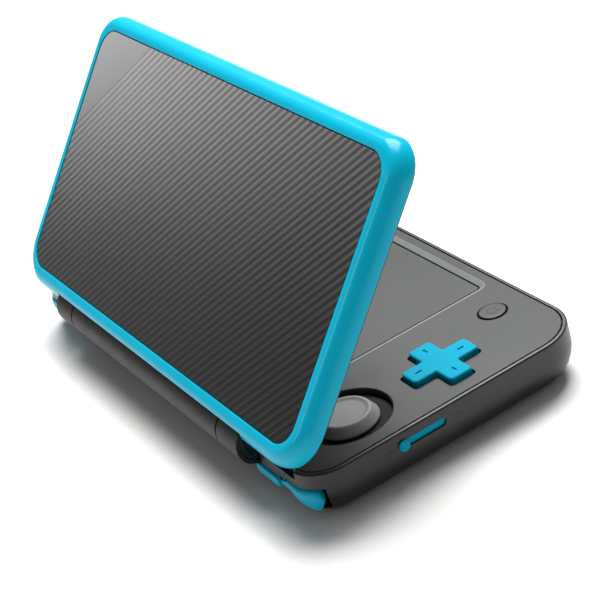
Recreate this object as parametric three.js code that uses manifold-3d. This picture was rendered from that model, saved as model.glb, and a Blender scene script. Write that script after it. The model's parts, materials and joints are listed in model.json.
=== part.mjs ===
// Clamshell handheld lcd game, half open. Millimetres, +Z up, user side towards -Y, hinge towards +Y.
// The origin is the middle of the flat bottom.
// The lid is laid out closed, then turned open about the hinge.

import * as THREE from 'three';
import { mergeVertices } from 'three/addons/utils/BufferGeometryUtils.js';
import ManifoldModule from 'manifold-3d';

const wasm = await ManifoldModule();
wasm.setup();
const { Manifold, Mesh: SolidMesh } = wasm;

// ---- driving dimensions ----
const GAP = 0.3;
const HALF_W = 80;
const FRONT_Y = -41.5;
const REAR_Y = 40;
const BASE_TOP = 14;
const SPLIT_Z = 4;
const FRONT_CORNER = 13;
const REAR_CORNER = 9.5;
const BOTTOM_ROUND = 9;
const BOTTOM_INSET = 8;
const WALL = 1.7;
const FLOOR = 1.6;
const RIM = 1.1;
const PLATE_THICK = 1.4;
const PLATE_BOTTOM = BASE_TOP - PLATE_THICK;

const HINGE_Y = 39.3;
const HINGE_Z = 14.2;
const BARREL_R = 5.7;
const BARREL_HALF = 43.3;
const KNUCKLE_IN = 43.6;
const KNUCKLE_OUT = 54.2;
const HINGE_BAY = 54.6;
const PIN_R = 2;
const PIN_FIT = 0.08;
const TROUGH_R = BARREL_R + 0.35;
const LINER_R = TROUGH_R + 1.2;
const LID_OPEN_DEG = 50.7;

const LID_FREE = 80.4;
const LID_HEEL = -0.5;
const LID_FREE_CORNER = 9;
const LID_HEEL_CORNER = 12;
const LID_SHELL_IN = 1;
const LID_SHELL_OUT = 6.4;
const LID_RIM_N = 0.4;
const LID_FACE_N = 1.9;
const LID_ROUND = 4.5;
const PANEL_HALF = 75.1;
const PANEL_NEAR = 4.9;
const PANEL_FAR = 75.7;
const PANEL_CORNER = 6.5;
const PANEL_N = 6.2;
const RIB_PITCH = 2;
const RIB_GROOVE = 0.8;
const RIB_DEPTH = 0.25;
const PLAIN_CORNER = 21.3;

const WINDOW_HALF = 42.3;
const WINDOW_FRONT = -36.1;
const WINDOW_REAR = 27.9;
const WINDOW_BEVEL = 1.6;

const DPAD = { x: -64.3, y: -8, half: 9.6, arm: 3.3, top: 15.5 };
const CIRCLE_PAD = { x: -63, y: 19.2, recess: 11.4, cap: 8.15, disc: 6.1, top: 15.4 };
const HOME = { x: -55.2, y: -30.3, r: 3.65, top: 14.3 };
const FACE_BUTTONS = { x: 63.5, y: 13.5, spread: 7.4, r: 4.1, top: 15.5 };
const SMALL_BUTTONS = {
  start: { x: 56, y: -10.5, r: 2.1, top: 14.7 },
  select: { x: 56, y: -19.5, r: 2.1, top: 14.7 },
  power: { x: 66, y: -29.5, r: 2.7, top: 14.4 },
};
const C_STICK = { x: 50.6, y: 27.2, r: 2.6, top: 15.3 };
const BUTTON_GAP = 0.3;

const VOLUME = { z: 10.4, front: 3.3, rear: 14.5, knob: 1.5, slot: 1, skin: 0.45, strip: 1.3 };
const VOLUME_TRAVEL = VOLUME.rear - VOLUME.front;
const SHOULDER = { zLow: 3.4, zHigh: 9.4, out: 0.8, deep: 3.2, inboard: 63.8, endY: 37.4, travel: 2.6 };
const TRIGGER = { zLow: 5, zHigh: 7.9, inner: 51.4, outer: 62.8, out: 0.7, deep: 2.6 };
const FLAP = { x0: -53, x1: 1, zLow: 2.4, zHigh: 8.4, thick: 1.2 };
const STYLUS = { x: 47, z: 4.9, r: 2.1, length: 61 };
const JACK = { x: 15, z: 4.9, r: 2.5, bore: 1.75, front: -36.9, back: -26 };
const COVER_SCREW = { x: 60, y: -4, head: 2.2, shank: 1 };

const COLOURS = {
  turquoise: 0x12a9cf,
  shell: 0x1b1c1e,
  plate: 0x3a3c3e,
  panel: 0x2b2d2f,
  glass: 0x101214,
  screen: 0x2f3335,
  grey: 0x9a9c9e,
  dark: 0x252729,
  steel: 0xa8abae,
  board: 0x1d4a33,
  rubber: 0x202020,
  cell: 0x3c4046,
};

// ---- geometry helpers ----
function toSolid(geometry) {
  const bare = new THREE.BufferGeometry();
  bare.setAttribute('position', geometry.getAttribute('position'));
  bare.setIndex(geometry.index);
  const merged = mergeVertices(bare, 1e-4);
  const corners = merged.index.array;
  const kept = [];
  for (let i = 0; i < corners.length; i += 3) {
    const [a, b, c] = [corners[i], corners[i + 1], corners[i + 2]];
    if (a !== b && b !== c && a !== c) kept.push(a, b, c);
  }
  return new Manifold(new SolidMesh({
    numProp: 3,
    vertProperties: new Float32Array(merged.getAttribute('position').array),
    triVerts: new Uint32Array(kept),
  }));
}

function toGeometry(manifold) {
  const mesh = manifold.getMesh();
  const geometry = new THREE.BufferGeometry();
  geometry.setAttribute('position', new THREE.BufferAttribute(mesh.vertProperties, 3));
  geometry.setIndex(new THREE.BufferAttribute(mesh.triVerts, 1));
  geometry.computeVertexNormals();
  return geometry;
}

function join(...solids) {
  return solids.reduce((all, one) => all.add(one));
}

function cut(first, ...tools) {
  return tools.reduce((left, tool) => left.subtract(tool), first);
}

function roundRect(x0, y0, x1, y1, nearRadius, farRadius = nearRadius) {
  const shape = new THREE.Shape();
  shape.moveTo(x0 + nearRadius, y0);
  shape.lineTo(x1 - nearRadius, y0);
  shape.absarc(x1 - nearRadius, y0 + nearRadius, nearRadius, -Math.PI / 2, 0, false);
  shape.lineTo(x1, y1 - farRadius);
  shape.absarc(x1 - farRadius, y1 - farRadius, farRadius, 0, Math.PI / 2, false);
  shape.lineTo(x0 + farRadius, y1);
  shape.absarc(x0 + farRadius, y1 - farRadius, farRadius, Math.PI / 2, Math.PI, false);
  shape.lineTo(x0, y0 + nearRadius);
  shape.absarc(x0 + nearRadius, y0 + nearRadius, nearRadius, Math.PI, Math.PI * 1.5, false);
  return shape;
}

function slab(shape, z0, z1, { rise = 0, inset = rise, steps = 3, curve = 3 } = {}) {
  const geometry = new THREE.ExtrudeGeometry(shape, {
    depth: z1 - z0 - 2 * rise,
    bevelEnabled: rise > 0,
    bevelThickness: rise,
    bevelSize: inset,
    bevelOffset: -inset,
    bevelSegments: steps,
    curveSegments: curve,
  });
  geometry.translate(0, 0, z0 + rise);
  return toSolid(geometry);
}

function box(x0, x1, y0, y1, z0, z1) {
  const geometry = new THREE.BoxGeometry(x1 - x0, y1 - y0, z1 - z0);
  geometry.translate((x0 + x1) / 2, (y0 + y1) / 2, (z0 + z1) / 2);
  return toSolid(geometry);
}

function rod(r, a, b, sides = 24) {
  const from = new THREE.Vector3(...a);
  const along = new THREE.Vector3(...b).sub(from);
  const geometry = new THREE.CylinderGeometry(r, r, along.length(), sides);
  geometry.translate(0, along.length() / 2, 0);
  const turn = new THREE.Quaternion().setFromUnitVectors(new THREE.Vector3(0, 1, 0), along.normalize());
  geometry.applyQuaternion(turn);
  geometry.translate(from.x, from.y, from.z);
  return toSolid(geometry);
}

function turned(profile, x, y, sides = 32) {
  const points = profile.map(([r, z]) => new THREE.Vector2(r, z));
  const geometry = new THREE.LatheGeometry([...points, points[0]], sides);
  geometry.rotateX(Math.PI / 2);
  geometry.translate(x, y, 0);
  return toSolid(geometry);
}

function button(x, y, r, z0, z1, round = 0.5) {
  const profile = [[0, z0], [r, z0], [r, z1 - round], [r - round * 0.3, z1 - round * 0.3]];
  return turned([...profile, [r - round, z1], [0, z1]], x, y, 22);
}

function crossShape(x, y, half, arm) {
  const shape = new THREE.Shape();
  shape.moveTo(x + half, y - arm);
  const corners = [[half, arm], [arm, arm], [arm, half], [-arm, half], [-arm, arm], [-half, arm],
    [-half, -arm], [-arm, -arm], [-arm, -half], [arm, -half], [arm, -arm]];
  for (const [dx, dy] of corners) shape.lineTo(x + dx, y + dy);
  return shape;
}

// ---- base form ----
function baseOutline(inset) {
  return roundRect(
    -HALF_W + inset, FRONT_Y + inset, HALF_W - inset, REAR_Y - inset,
    FRONT_CORNER - inset, REAR_CORNER - inset,
  );
}

function baseForm(inset, bottom, top, roundTop) {
  const tub = slab(baseOutline(inset), bottom, top + 2 * BOTTOM_ROUND, {
    rise: BOTTOM_ROUND - inset / 2,
    inset: BOTTOM_INSET - inset / 2,
    steps: 4,
    curve: 4,
  });
  const cap = slab(baseOutline(inset - 0.02), bottom - 10, top, { rise: roundTop, steps: 2, curve: 4 });
  return tub.intersect(cap);
}

function hingeRod(r, half) {
  return rod(r, [-half, HINGE_Y, HINGE_Z], [half, HINGE_Y, HINGE_Z], 36);
}

// A band that follows the rear corner on one side (side is -1 or +1).
function shoulderBand(side, outR, inR, endY, inboard) {
  const cx = HALF_W - REAR_CORNER;
  const cy = REAR_Y - REAR_CORNER;
  const steps = 8;
  const shape = new THREE.Shape();
  shape.moveTo(side * inboard, cy + inR);
  shape.lineTo(side * inboard, cy + outR);
  const end = Math.asin((endY - cy) / outR);
  const corner = (r, i) => {
    const a = Math.PI / 2 + (end - Math.PI / 2) * (i / steps);
    shape.lineTo(side * (cx + r * Math.cos(a)), cy + r * Math.sin(a));
  };
  for (let i = 0; i <= steps; i += 1) corner(outR, i);
  for (let i = steps; i >= 1; i -= 1) corner(inR, i);
  return shape;
}

function shoulderButton(side) {
  const shape = shoulderBand(
    side, REAR_CORNER + SHOULDER.out, REAR_CORNER - SHOULDER.deep, SHOULDER.endY, SHOULDER.inboard,
  );
  return slab(shape, SHOULDER.zLow, SHOULDER.zHigh, { rise: 0.9, inset: 0.7, steps: 2 });
}

function shoulderPocket(side) {
  const shape = shoulderBand(
    side, REAR_CORNER + 3, REAR_CORNER - SHOULDER.deep - SHOULDER.travel,
    SHOULDER.endY - 1.6, SHOULDER.inboard - 0.4,
  );
  return slab(shape, SHOULDER.zLow - 0.35, SHOULDER.zHigh + 0.35);
}

function sided(side, inner, outer, y0, y1, z0, z1) {
  return side < 0 ? box(-outer, -inner, y0, y1, z0, z1) : box(inner, outer, y0, y1, z0, z1);
}

function triggerButton(side) {
  const [x0, x1] = side < 0 ? [-TRIGGER.outer, -TRIGGER.inner] : [TRIGGER.inner, TRIGGER.outer];
  const shape = roundRect(x0, REAR_Y - TRIGGER.deep, x1, REAR_Y + TRIGGER.out, 1.1, 1.6);
  return slab(shape, TRIGGER.zLow, TRIGGER.zHigh, { rise: 0.8, inset: 0.6, steps: 2, curve: 2 });
}

function triggerPocket(side) {
  return sided(
    side, TRIGGER.inner - GAP, TRIGGER.outer + GAP,
    REAR_Y - TRIGGER.deep - 1.6, REAR_Y + 3, TRIGGER.zLow - GAP, TRIGGER.zHigh + GAP,
  );
}

// ---- base parts ----
const plateButtons = [
  HOME,
  SMALL_BUTTONS.start,
  SMALL_BUTTONS.select,
  SMALL_BUTTONS.power,
];
const clusterSpots = {
  a: [FACE_BUTTONS.x + FACE_BUTTONS.spread, FACE_BUTTONS.y],
  b: [FACE_BUTTONS.x, FACE_BUTTONS.y - FACE_BUTTONS.spread],
  x: [FACE_BUTTONS.x, FACE_BUTTONS.y + FACE_BUTTONS.spread],
  y: [FACE_BUTTONS.x - FACE_BUTTONS.spread, FACE_BUTTONS.y],
};
const STATUS = { x: 74.2, y: -17, half: 0.7, length: 2.6 };
const hingeBayTool = () => box(-HINGE_BAY, HINGE_BAY, HINGE_Y - TROUGH_R + 0.01, 60, 8, 30);

function facePlate() {
  let plate = slab(baseOutline(RIM + GAP), PLATE_BOTTOM, BASE_TOP, { rise: 0.2, steps: 1, curve: 4 });
  const through = [PLATE_BOTTOM - 1, BASE_TOP + 1];
  const windowBevel = slab(
    roundRect(
      -WINDOW_HALF - WINDOW_BEVEL, WINDOW_FRONT - WINDOW_BEVEL,
      WINDOW_HALF + WINDOW_BEVEL, WINDOW_REAR + WINDOW_BEVEL, 3,
    ),
    BASE_TOP - 0.7, BASE_TOP + 2.1, { rise: 0.7, inset: WINDOW_BEVEL, steps: 1, curve: 4 },
  );
  plate = cut(
    plate,
    box(-HINGE_BAY, HINGE_BAY, HINGE_Y - TROUGH_R - 0.2, 60, 0, 30),
    slab(roundRect(-WINDOW_HALF, WINDOW_FRONT, WINDOW_HALF, WINDOW_REAR, 1.4), ...through, { curve: 4 }),
    windowBevel,
    slab(crossShape(DPAD.x, DPAD.y, DPAD.half + 0.4, DPAD.arm + 0.4), ...through),
    rod(CIRCLE_PAD.recess, [CIRCLE_PAD.x, CIRCLE_PAD.y, 0], [CIRCLE_PAD.x, CIRCLE_PAD.y, 20], 40),
    rod(C_STICK.r + GAP, [C_STICK.x, C_STICK.y, 0], [C_STICK.x, C_STICK.y, 20], 20),
    box(
      STATUS.x - STATUS.half - 0.2, STATUS.x + STATUS.half + 0.2,
      STATUS.y - STATUS.length - 0.2, STATUS.y + STATUS.length + 0.2, 0, 20,
    ),
  );
  for (const spot of plateButtons) {
    plate = cut(plate, rod(spot.r + BUTTON_GAP, [spot.x, spot.y, 0], [spot.x, spot.y, 20], 28));
  }
  for (const [x, y] of Object.values(clusterSpots)) {
    plate = cut(plate, rod(FACE_BUTTONS.r + BUTTON_GAP, [x, y, 0], [x, y, 20], 28));
  }
  return plate;
}

const KNUCKLE_FOOT = { x0: 44.4, x1: 50.4, y0: 35.6, y1: 38.8, z0: 5.6 };
const IR_WINDOW = { x0: -26, x1: -17, z0: 3.2, z1: 6.2 };
const CHARGE = { x0: 14, x1: 23, y0: 31.6, y1: 36.6, z0: 2.8, z1: 6.4 };
const CARD_SLOT = { x0: -52.2, x1: -15.8, y0: -36.2, y1: -1.3, z0: 1.95, z1: 7.35 };
const SD_SOCKET = { x0: -14.6, x1: -0.6, y0: -36.2, y1: -20, z0: 2.1, z1: 4.6 };
const SPEAKER_GRILLE = { x: 60, y: -29, slots: 4, pitch: 2.2, half: 3.6, width: 0.5 };
const CAMERA_SPOTS = { x: 17.5, y: 27.5, r: 2.9 };

function volumeOpening() {
  const { front, rear, z, slot, strip, skin } = VOLUME;
  const slit = box(-90, -78, front - 0.95, rear + 0.95, z - slot, z + slot);
  const channel = box(
    -HALF_W + skin, -HALF_W + 4, front - VOLUME_TRAVEL - 2, rear + VOLUME_TRAVEL + 2,
    z - strip - GAP, z + strip + GAP,
  );
  return join(slit, channel);
}

function seat({ x0, x1, y0, y1, z0, z1 }) {
  return box(x0 - 0.2, x1 + 0.2, y0 - 0.2, y1 + 0.2, z0 - 0.2, z1 + 0.2);
}

function shellTools() {
  const flapTool = box(
    FLAP.x0 - 0.25, FLAP.x1 + 0.25, -60, FRONT_Y + BOTTOM_INSET + 2,
    FLAP.zLow - 0.25, FLAP.zHigh + 0.25,
  );
  return [
    hingeRod(TROUGH_R, HINGE_BAY),
    box(-90, -HINGE_BAY, REAR_Y - RIM, 60, 11.9, 30),
    box(HINGE_BAY, 90, REAR_Y - RIM, 60, 11.9, 30),
    shoulderPocket(-1),
    shoulderPocket(1),
    triggerPocket(-1),
    triggerPocket(1),
    flapTool,
    rod(JACK.bore, [JACK.x, -60, JACK.z], [JACK.x, -30, JACK.z], 20),
    rod(STYLUS.r + GAP, [STYLUS.x, -60, STYLUS.z], [STYLUS.x, -30, STYLUS.z], 20),
    box(IR_WINDOW.x0 - 0.2, IR_WINDOW.x1 + 0.2, 30, 60, IR_WINDOW.z0 - 0.2, IR_WINDOW.z1 + 0.2),
    box(CHARGE.x0 + 1, CHARGE.x1 - 1, 35, 60, CHARGE.z0 + 0.8, CHARGE.z1 - 0.6),
    seat(CHARGE),
    seat(CARD_SLOT),
    seat(SD_SOCKET),
    rod(JACK.r + 0.25, [JACK.x, JACK.front - 0.25, JACK.z], [JACK.x, -20, JACK.z], 20),
    volumeOpening(),
  ];
}

function upperShell() {
  const outer = baseForm(0, 0, BASE_TOP, 0.6);
  const inner = baseForm(WALL, FLOOR, PLATE_BOTTOM - 0.1, 0.1);
  const liner = hingeRod(LINER_R, HINGE_BAY + 1.2).intersect(
    box(-60, 60, 31, REAR_Y - 0.5, 5, PLATE_BOTTOM - GAP),
  );
  const hollow = cut(outer, inner, slab(baseOutline(RIM), PLATE_BOTTOM - 0.2, 20, { curve: 4 }));
  const walled = join(hollow, liner);
  const feet = [-1, 1].map((side) => sided(
    side, KNUCKLE_FOOT.x0 - 0.25, KNUCKLE_FOOT.x1 + 0.25,
    KNUCKLE_FOOT.y0 - 0.25, KNUCKLE_FOOT.y1 + 0.25, 0, 12,
  ));
  return cut(
    walled,
    box(-100, 100, -100, 100, -10, SPLIT_Z + 0.15),
    hingeBayTool(),
    ...shellTools(),
    ...feet,
  );
}

function lowerShell() {
  const outer = baseForm(0, 0, BASE_TOP, 0.6);
  const inner = baseForm(WALL, FLOOR, PLATE_BOTTOM, 0.1);
  let shell = cut(outer, inner);
  for (const side of [-1, 1]) {
    const x = side * COVER_SCREW.x;
    shell = join(shell, rod(3.6, [x, COVER_SCREW.y, 0.4], [x, COVER_SCREW.y, 3.8], 20));
  }
  shell = cut(shell, box(-100, 100, -100, 100, SPLIT_Z - 0.15, 40), ...shellTools());
  for (const side of [-1, 1]) {
    const x = side * COVER_SCREW.x;
    shell = cut(
      shell,
      rod(COVER_SCREW.head + GAP, [x, COVER_SCREW.y, -1], [x, COVER_SCREW.y, 2], 20),
      rod(COVER_SCREW.shank + 0.25, [x, COVER_SCREW.y, 1], [x, COVER_SCREW.y, 6], 16),
      rod(CAMERA_SPOTS.r + GAP, [side * CAMERA_SPOTS.x, CAMERA_SPOTS.y, -1],
        [side * CAMERA_SPOTS.x, CAMERA_SPOTS.y, 3], 24),
    );
    for (let i = 0; i < SPEAKER_GRILLE.slots; i += 1) {
      const y = SPEAKER_GRILLE.y + (i - (SPEAKER_GRILLE.slots - 1) / 2) * SPEAKER_GRILLE.pitch;
      const { x: gx, half, width } = SPEAKER_GRILLE;
      shell = cut(shell, sided(side, gx - half, gx + half, y - width, y + width, -1, 2.1));
    }
  }
  return shell;
}

function slotFlap() {
  const outer = baseForm(0, 0, BASE_TOP, 0.6);
  const inner = baseForm(FLAP.thick, FLAP.thick, BASE_TOP - 1, 0.1);
  const opening = box(FLAP.x0, FLAP.x1, -60, FRONT_Y + BOTTOM_INSET, FLAP.zLow, FLAP.zHigh);
  return cut(outer, inner).intersect(opening);
}

function cardSlot() {
  const { x0, x1, y0, y1, z0, z1 } = CARD_SLOT;
  return cut(box(x0, x1, y0, y1, z0, z1), box(x0 + 1.2, x1 - 1.2, y0 - 5, y1 - 0.9, z0 + 0.55, z1 - 0.55));
}

function knuckle(side) {
  const onAxis = (x) => [side * x, HINGE_Y, HINGE_Z];
  const drum = rod(BARREL_R, onAxis(KNUCKLE_IN), onAxis(KNUCKLE_OUT), 36);
  const { x0, x1, y0, y1, z0 } = KNUCKLE_FOOT;
  const foot = sided(side, x0, x1, y0, y1, z0, HINGE_Z - 3);
  const bore = rod(PIN_R + PIN_FIT, onAxis(KNUCKLE_IN - 2), onAxis(KNUCKLE_OUT - 2.2), 20);
  const dimple = rod(BARREL_R - 1.2, onAxis(KNUCKLE_OUT - 0.4), onAxis(KNUCKLE_OUT + 2), 28);
  return cut(join(drum, foot), bore, dimple);
}

function mainBoard() {
  const board = box(-69, 69, -33, 29, 7.7, 8.7);
  return cut(
    board,
    rod(4.4, [CIRCLE_PAD.x, CIRCLE_PAD.y, 0], [CIRCLE_PAD.x, CIRCLE_PAD.y, 12], 20),
    box(-80, -58, -40, -26, 0, 12),
    box(58, 80, -40, -26, 0, 12),
  );
}

const baseParts = {
  base_face_plate: [facePlate(), 'plate'],
  base_upper_shell: [upperShell(), 'shell'],
  base_lower_shell: [lowerShell(), 'shell'],
  battery_pack: [
    slab(roundRect(-13, -19, 38, 20, 1.5), 2, 7.2, { rise: 0.4, steps: 1, curve: 3 }),
    'cell',
  ],
  main_board: [mainBoard(), 'board'],
  touch_panel: [
    slab(
      roundRect(-WINDOW_HALF + 0.2, WINDOW_FRONT + 0.2, WINDOW_HALF - 0.2, WINDOW_REAR - 0.2, 1.2),
      12.2, 13.3, { curve: 3 },
    ),
    'screen',
  ],
  bottom_lcd_module: [box(-45, 45, -37, 29.5, 9.2, 11.9), 'steel'],
  circle_pad_housing: [
    turned([[5.3, 11.5], [13, 11.5], [13, 12.3], [5.3, 12.3]], CIRCLE_PAD.x, CIRCLE_PAD.y, 36),
    'dark',
  ],
  c_stick_nub: [button(C_STICK.x, C_STICK.y, C_STICK.r, 9.2, C_STICK.top, 1), 'grey'],
  button_contact_rubber: [
    cut(
      slab(roundRect(51.5, 1.8, 75.6, 25.4, 4), 9.2, 10.1, { curve: 3 }),
      rod(C_STICK.r + 0.5, [C_STICK.x, C_STICK.y, 0], [C_STICK.x, C_STICK.y, 20], 20),
    ),
    'rubber',
  ],
  card_slot_module: [cardSlot(), 'steel'],
  microsd_socket: [
    cut(
      box(SD_SOCKET.x0, SD_SOCKET.x1, SD_SOCKET.y0, SD_SOCKET.y1, SD_SOCKET.z0, SD_SOCKET.z1),
      box(SD_SOCKET.x0 + 1, SD_SOCKET.x1 - 1, -40, SD_SOCKET.y1 - 1, SD_SOCKET.z0 + 0.5, SD_SOCKET.z1 - 0.5),
    ),
    'steel',
  ],
  headphone_jack: [
    cut(
      rod(JACK.r, [JACK.x, JACK.front, JACK.z], [JACK.x, JACK.back, JACK.z], 20),
      rod(JACK.bore, [JACK.x, -40, JACK.z], [JACK.x, JACK.back - 2, JACK.z], 20),
    ),
    'dark',
  ],
  charge_socket: [
    cut(
      box(CHARGE.x0, CHARGE.x1, CHARGE.y0, CHARGE.y1, CHARGE.z0, CHARGE.z1),
      box(CHARGE.x0 + 1, CHARGE.x1 - 1, CHARGE.y0 + 1.5, 40, CHARGE.z0 + 0.8, CHARGE.z1 - 0.6),
    ),
    'dark',
  ],
  infrared_window: [
    baseForm(0, 0, BASE_TOP, 0.6).intersect(
      box(IR_WINDOW.x0, IR_WINDOW.x1, REAR_Y - 3.4, 60, IR_WINDOW.z0, IR_WINDOW.z1),
    ),
    'glass',
  ],
  status_light_window: [
    box(
      STATUS.x - STATUS.half, STATUS.x + STATUS.half, STATUS.y - STATUS.length, STATUS.y + STATUS.length,
      11.6, BASE_TOP - 0.05,
    ),
    'grey',
  ],
};
for (const [name, side] of [['left', -1], ['right', 1]]) {
  const cx = side * CAMERA_SPOTS.x;
  const sx = side * COVER_SCREW.x;
  baseParts[`speaker_${name}`] = [
    slab(roundRect(side * 62 - 6.6, -34, side * 62 + 6.6, -24, 2), 2.3, 5.8, { curve: 3 }),
    'dark',
  ];
  baseParts[`outer_camera_${name}`] = [
    turned([[0, 0.5], [1.5, 0.5], [1.9, 0.2], [2.9, 0.2], [2.9, 3.4], [0, 3.4]], cx, CAMERA_SPOTS.y, 24),
    'glass',
  ];
  baseParts[`cover_screw_${name}`] = [
    cut(
      turned(
        [
          [0, 0.6], [1.9, 0.6], [COVER_SCREW.head, 0.9], [COVER_SCREW.head, 1.8],
          [1, 1.8], [1, 6.2], [0, 6.2],
        ],
        sx, COVER_SCREW.y, 20,
      ),
      box(sx - 1.4, sx + 1.4, COVER_SCREW.y - 0.25, COVER_SCREW.y + 0.25, 0, 1.1),
      box(sx - 0.25, sx + 0.25, COVER_SCREW.y - 1.4, COVER_SCREW.y + 1.4, 0, 1.1),
    ),
    'steel',
  ];
  baseParts[`hinge_knuckle_${name}`] = [knuckle(side), 'dark'];
  baseParts[`hinge_pin_${name}`] = [
    rod(PIN_R, [side * 36, HINGE_Y, HINGE_Z], [side * 51.7, HINGE_Y, HINGE_Z], 20),
    'steel',
  ];
}

// ---- moving parts on the base ----
function dpad() {
  const cross = crossShape(DPAD.x, DPAD.y, DPAD.half, DPAD.arm);
  const body = slab(cross, 12, DPAD.top, { rise: 0.5, steps: 2 });
  const dashes = [];
  for (const [ux, uy] of [[1, 0], [-1, 0], [0, 1], [0, -1]]) {
    const x = DPAD.x + ux * 6.3;
    const y = DPAD.y + uy * 6.3;
    const [hx, hy] = ux ? [0.9, 0.3] : [0.3, 0.9];
    dashes.push(box(x - hx, x + hx, y - hy, y + hy, DPAD.top - 0.3, DPAD.top + 1));
  }
  return cut(body, ...dashes);
}

function circleCap() {
  const { cap, disc, top } = CIRCLE_PAD;
  return turned(
    [
      [0, 9.3], [1.8, 9.3], [1.8, 12.7], [cap, 12.7], [cap, 13.1], [disc + 0.5, top - 0.25],
      [disc, top], [disc - 0.5, top], [disc - 1.2, top - 0.35], [0, top - 0.6],
    ],
    CIRCLE_PAD.x, CIRCLE_PAD.y, 36,
  );
}

function circleStage() {
  const { x, y } = CIRCLE_PAD;
  return cut(
    box(x - 6.5, x + 6.5, y - 5.2, y + 5.2, 9.9, 11.1),
    box(x - 2.1, x + 2.1, y - 4.3, y + 4.3, 8, 12),
  );
}

function stylus() {
  const { x, z, r, length } = STYLUS;
  const front = FRONT_Y + 0.7;
  const rear = front + length;
  const body = rod(r, [x, front + 1.2, z], [x, rear - 4, z], 20);
  const head = rod(r - 0.3, [x, front, z], [x, front + 2, z], 20);
  const tip = rod(1, [x, rear - 5, z], [x, rear, z], 14);
  return join(body, head, tip);
}

function volumeKnob() {
  const { front, rear: y, z, knob, slot, skin, strip } = VOLUME;
  const head = rod(knob, [-HALF_W - 0.75, y, z], [-HALF_W - 0.25, y, z], 20);
  const stem = box(-HALF_W - 0.4, -HALF_W + skin + 0.5, y - 0.6, y + 0.6, z - slot + 0.2, z + slot - 0.2);
  const backing = box(
    -HALF_W + skin + 0.25, -HALF_W + skin + 0.8, front - 1.4, y + VOLUME_TRAVEL + 1.2, z - strip, z + strip,
  );
  return join(head, stem, backing);
}

const plateButton = ({ x, y, r, top }) => button(x, y, r, 11.2, top, 0.4);

const movingParts = {
  dpad_contact_rubber: [slab(crossShape(DPAD.x, DPAD.y, 8.8, 4), 10.3, 11.1), 'rubber'],
  dpad: [dpad(), 'turquoise'],
  circle_pad_stage: [circleStage(), 'dark'],
  circle_pad_cap: [circleCap(), 'grey'],
  button_home: [plateButton(HOME), 'dark'],
  button_start: [plateButton(SMALL_BUTTONS.start), 'dark'],
  button_select: [plateButton(SMALL_BUTTONS.select), 'dark'],
  button_power: [plateButton(SMALL_BUTTONS.power), 'dark'],
  shoulder_l: [shoulderButton(-1), 'turquoise'],
  shoulder_r: [shoulderButton(1), 'turquoise'],
  trigger_zl: [triggerButton(-1), 'turquoise'],
  trigger_zr: [triggerButton(1), 'turquoise'],
  volume_slider: [volumeKnob(), 'turquoise'],
  card_slot_cover: [slotFlap(), 'shell'],
  stylus: [stylus(), 'shell'],
};
for (const [letter, [x, y]] of Object.entries(clusterSpots)) {
  movingParts[`button_${letter}`] = [
    button(x, y, FACE_BUTTONS.r, 11.3, FACE_BUTTONS.top, 0.6),
    'turquoise',
  ];
}

// ---- lid, laid out closed: v runs from the hinge to the free edge, n is the outward normal ----
function lidSlab(x, v0, v1, radii, n0, n1, bevel = {}) {
  const [free, heel] = radii;
  const shape = roundRect(-x, HINGE_Y - v1, x, HINGE_Y - v0, free, heel);
  return slab(shape, HINGE_Z + n0, HINGE_Z + n1, bevel);
}

function lidOutline(inset, n0, n1, bevel) {
  const radii = [LID_FREE_CORNER - inset, LID_HEEL_CORNER - inset];
  return lidSlab(HALF_W - inset, LID_HEEL + inset, LID_FREE - inset, radii, n0, n1, { curve: 4, ...bevel });
}

function lidBox(x0, x1, v0, v1, n0, n1) {
  return box(x0, x1, HINGE_Y - v1, HINGE_Y - v0, HINGE_Z + n0, HINGE_Z + n1);
}

function lidShell() {
  const below = 2 * LID_ROUND;
  const form = lidOutline(0, LID_SHELL_IN - below, LID_SHELL_OUT, { rise: LID_ROUND, inset: 3.6, steps: 4 });
  return cut(
    form,
    lidBox(-100, 100, -100, 100, -20, LID_SHELL_IN),
    lidOutline(1.8, -1, 4.9, { curve: 3 }),
    lidSlab(PANEL_HALF + 0.15, PANEL_NEAR - 0.15, PANEL_FAR + 0.15, [PANEL_CORNER, PANEL_CORNER], 5.4, 8,
      { curve: 3 }),
    lidBox(-HINGE_BAY, HINGE_BAY, -10, 1.2, -10, 10),
    hingeRod(BARREL_R + GAP, HINGE_BAY),
  );
}

function ribbedPanel() {
  const panel = lidSlab(PANEL_HALF - 0.1, PANEL_NEAR + 0.1, PANEL_FAR - 0.1, [PANEL_CORNER, PANEL_CORNER],
    5.5, PANEL_N, { curve: 3 });
  const cornerReach = (PANEL_HALF + (PANEL_FAR - PANEL_NEAR) / 2) * Math.SQRT1_2;
  const midY = HINGE_Y - (PANEL_NEAR + PANEL_FAR) / 2;
  let grooves = null;
  for (let offset = PLAIN_CORNER - cornerReach; offset < cornerReach - RIB_PITCH; offset += RIB_PITCH) {
    const bar = new THREE.BoxGeometry(220, RIB_GROOVE, 1);
    bar.translate(0, offset, 0);
    bar.rotateZ(Math.PI / 4);
    bar.translate(0, midY, HINGE_Z + PANEL_N - RIB_DEPTH + 0.5);
    grooves = grooves ? grooves.add(toSolid(bar)) : toSolid(bar);
  }
  const field = lidSlab(PANEL_HALF - 0.8, PANEL_NEAR + 0.8, PANEL_FAR - 0.8, [PANEL_CORNER, PANEL_CORNER],
    5, 8, { curve: 3 });
  return cut(panel, grooves.intersect(field));
}

const BUMPERS = { x: 68, vFree: 78.3, vHeel: 1.5, xHeel: 62, r: 1 };
const bumperSpots = {
  free_left: [-BUMPERS.x, BUMPERS.vFree],
  free_right: [BUMPERS.x, BUMPERS.vFree],
  heel_left: [-BUMPERS.xHeel, BUMPERS.vHeel],
  heel_right: [BUMPERS.xHeel, BUMPERS.vHeel],
};

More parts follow.
